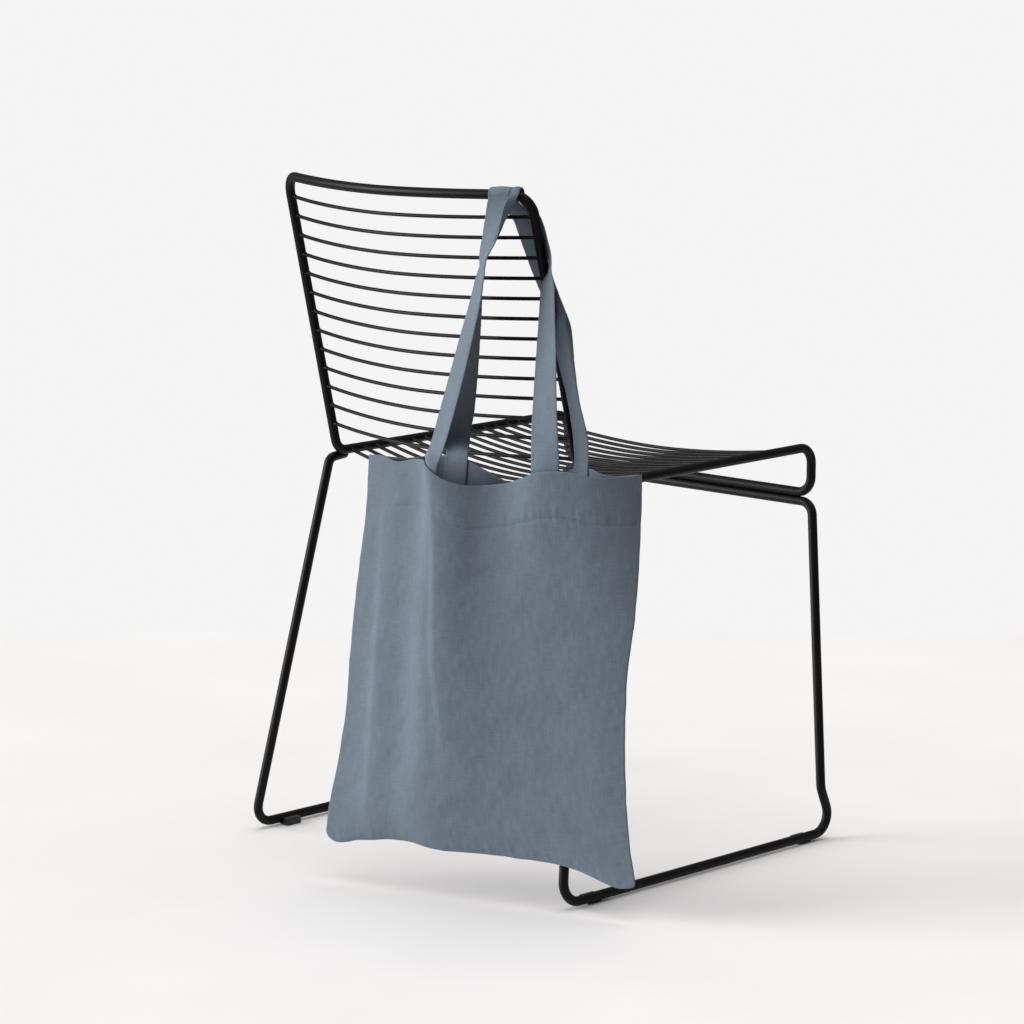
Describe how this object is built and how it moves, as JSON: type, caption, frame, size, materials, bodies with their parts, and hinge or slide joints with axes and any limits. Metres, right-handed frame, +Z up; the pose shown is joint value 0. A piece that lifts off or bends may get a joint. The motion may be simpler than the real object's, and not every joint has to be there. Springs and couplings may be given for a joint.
{
  "type": "linen tote bag on a wire chair",
  "caption": "Open, empty linen tote bag hung by both long handles from the top rail of a black wire side chair with a sled base.",
  "frame": {"origin": "middle of the bounding box's underside, at floor level", "axes": "+X to the chair's right as someone sitting on it sees it, which is the side where the bag hangs; +Y the way the chair faces; +Z up"},
  "size_m": [0.6034, 0.583, 0.7914],
  "materials": {
    "painted_steel": "black satin powder coat on round steel rod and wire",
    "glide_plastic": "plain dark moulded plastic",
    "linen": "washed, slubby plain-weave linen in dusty blue-grey"
  },
  "bodies": {
    "root": {"seat_back_frame": "painted_steel", "sled_base": "painted_steel", "back_wire_1": "painted_steel", "back_wire_2": "painted_steel", "back_wire_3": "painted_steel", "back_wire_4": "painted_steel", "back_wire_5": "painted_steel", "back_wire_6": "painted_steel", "back_wire_7": "painted_steel", "back_wire_8": "painted_steel", "back_wire_9": "painted_steel", "back_wire_10": "painted_steel", "back_wire_11": "painted_steel", "back_wire_12": "painted_steel", "back_wire_13": "painted_steel", "seat_wire_1": "painted_steel", "seat_wire_2": "painted_steel", "seat_wire_3": "painted_steel", "seat_wire_4": "painted_steel", "seat_wire_5": "painted_steel", "seat_wire_6": "painted_steel", "seat_wire_7": "painted_steel", "seat_wire_8": "painted_steel", "seat_wire_9": "painted_steel", "seat_wire_10": "painted_steel", "seat_wire_11": "painted_steel", "seat_wire_12": "painted_steel", "seat_wire_13": "painted_steel", "seat_wire_14": "painted_steel", "seat_wire_15": "painted_steel", "seat_wire_16": "painted_steel", "seat_wire_17": "painted_steel", "glide_left_rear": "glide_plastic", "glide_left_front": "glide_plastic", "glide_right_rear": "glide_plastic", "glide_right_front": "glide_plastic", "bag_front_panel": "linen", "bag_back_panel": "linen", "front_handle": "linen", "back_handle": "linen"}
  },
  "joints": []
}
